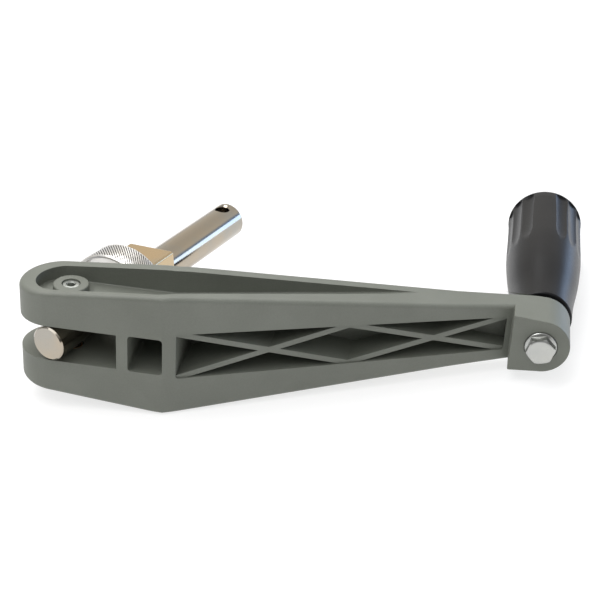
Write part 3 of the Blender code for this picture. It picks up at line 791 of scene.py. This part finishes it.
NODE_LOOKS = {
    "pivot_pin": FASTENER_STEEL,
    "ear_bush_upper": BRONZE,
    "ear_bush_lower": BRONZE,
    "barrel_bush": FASTENER_STEEL,
    "arm_washer": FASTENER_STEEL,
    "axle_sleeve": FASTENER_STEEL,
    "end_washer": FASTENER_STEEL,
    "lock_nut": FASTENER_STEEL,
    "nut_insert": NYLON,
    "grip_bush_near": ACETAL,
    "grip_bush_far": ACETAL,
}
for node_name, look in NODE_LOOKS.items():
    node = frame["nodes"][node_name]
    for material_slot in node.material_slots:
        material_slot.material = look


# ------------------------------------------------------ floor, lights, camera

FLOOR_TILT = 3.73            # degrees, rising towards +X
FLOOR_DROP = 26.5            # mm below the fold pin's middle, under the arm's knee
FLOOR_HALF = 40.0            # half its width in metres; at 4 its edge would show from behind
FLOOR_GLOW = 0.72
CENTRE = (0.06, -0.08, 0.0)  # what the lights point at
CAMERA_PLACE = (0.11486, -0.57957, 0.28471)
CAMERA_RIGHT = (0.98510, 0.16407, 0.05161)
CAMERA_UP = (-0.12410, 0.47024, 0.87378)
CAMERA_LENS = 84.09


def make_floor():
    """A pale floor, tilted to the plane that the arm's knee and the grip lie on."""
    mesh = bpy.data.meshes.new("floor")
    work = bmesh.new()
    bmesh.ops.create_grid(work, x_segments=2, y_segments=2, size=FLOOR_HALF)
    work.to_mesh(mesh)
    work.free()
    floor = new_object("floor", mesh)
    floor.matrix_world = (
        Matrix.Translation(PIVOT + Vector((KINK_X * MM, 0, -FLOOR_DROP * MM)))
        @ Matrix.Rotation(-math.radians(FLOOR_TILT), 4, "Y")
    )
    mat, tree, shader = nodes_of("floor_white")
    vector = object_space(tree)
    tone = ramp(tree, noise(tree, vector, 3, 2), [(0.3, (0.33, 0.33, 0.33)), (0.7, (0.36, 0.36, 0.36))])
    tree.links.new(tone, shader.inputs["Base Color"])
    shader.inputs["Roughness"].default_value = 0.9
    shader.inputs["Emission Color"].default_value = (1.0, 1.0, 1.0, 1.0)
    shader.inputs["Emission Strength"].default_value = FLOOR_GLOW
    mesh.materials.append(mat)


def area_light(name, place, target, size, power, colour=(1, 1, 1)):
    light = bpy.data.lights.new(name, "AREA")
    light.shape = "RECTANGLE"
    light.size, light.size_y = size
    light.energy = power
    light.color = colour
    obj = bpy.data.objects.new(name, light)
    bpy.context.scene.collection.objects.link(obj)
    obj.location = place
    direction = Vector(target) - Vector(place)
    obj.rotation_euler = direction.to_track_quat("-Z", "Y").to_euler()
    obj.visible_camera = False


def between(tree, value, low, high):
    """A value's place between low and high, held to 0..1."""
    node = tree.nodes.new("ShaderNodeMapRange")
    node.inputs["From Min"].default_value = low
    node.inputs["From Max"].default_value = high
    tree.links.new(value, node.inputs["Value"])
    return node.outputs["Result"]


def blended(tree, share, first, second):
    node = tree.nodes.new("ShaderNodeMix")
    node.data_type = "RGBA"
    tree.links.new(share, node.inputs["Factor"])
    tree.links.new(first, node.inputs["A"])
    tree.links.new(second, node.inputs["B"])
    return node.outputs["Result"]


def make_world():
    """Pale surroundings, darker near the horizon in front and at the right."""
    world = bpy.data.worlds.new("studio")
    bpy.context.scene.world = world
    world.use_nodes = True
    tree = world.node_tree
    back = tree.nodes["Background"]
    coord = tree.nodes.new("ShaderNodeTexCoord")
    parts = tree.nodes.new("ShaderNodeSeparateXYZ")
    tree.links.new(coord.outputs["Generated"], parts.inputs["Vector"])
    height = between(tree, parts.outputs["Z"], -1.0, 1.0)
    behind = ramp(
        tree,
        height,
        [(0.0, (0.9, 0.9, 0.9)), (0.5, (0.7, 0.7, 0.7)), (0.65, (0.86, 0.83, 0.77)), (1.0, (0.6, 0.6, 0.6))],
    )
    right = ramp(
        tree,
        height,
        [
            (0.0, (0.9, 0.9, 0.9)), (0.5, (0.2, 0.3, 0.5)), (0.675, (0.24, 0.36, 0.6)),
            (0.73, (0.86, 0.83, 0.77)), (1.0, (0.6, 0.6, 0.6)),
        ],
    )
    before = ramp(
        tree,
        height,
        [
            (0.0, (0.5, 0.5, 0.5)), (0.5, (0.07, 0.07, 0.07)), (0.62, (0.09, 0.09, 0.09)),
            (0.75, (0.5, 0.5, 0.5)), (1.0, (0.5, 0.5, 0.5)),
        ],
    )
    far_side = blended(tree, between(tree, parts.outputs["X"], 0.1, 0.55), behind, right)
    all_round = blended(tree, between(tree, parts.outputs["Y"], -0.35, 0.3), before, far_side)
    tree.links.new(all_round, back.inputs["Color"])
    back.inputs["Strength"].default_value = 1.0


def make_camera():
    data = bpy.data.cameras.new("camera")
    data.lens = CAMERA_LENS
    data.sensor_width = 36.0
    camera = bpy.data.objects.new("camera", data)
    bpy.context.scene.collection.objects.link(camera)
    right = Vector(CAMERA_RIGHT).normalized()
    up = Vector(CAMERA_UP).normalized()
    up = (up - right * up.dot(right)).normalized()
    back = right.cross(up)
    basis = Matrix((right, up, back)).transposed().to_4x4()
    camera.matrix_world = Matrix.Translation(CAMERA_PLACE) @ basis
    bpy.context.scene.camera = camera


make_floor()
make_world()
make_camera()
area_light("overhead", (-0.3, 0.1, 1.1), CENTRE, (1.6, 0.8), 14)
area_light("front", (-0.3, -0.85, 1.05), CENTRE, (1.3, 0.5), 3.4)
area_light("strip", (0.92, 0.48, 0.175), CENTRE, (1.0, 0.28), 2.9, (0.55, 0.72, 1.0))
bpy.context.scene.view_settings.view_transform = "Standard"
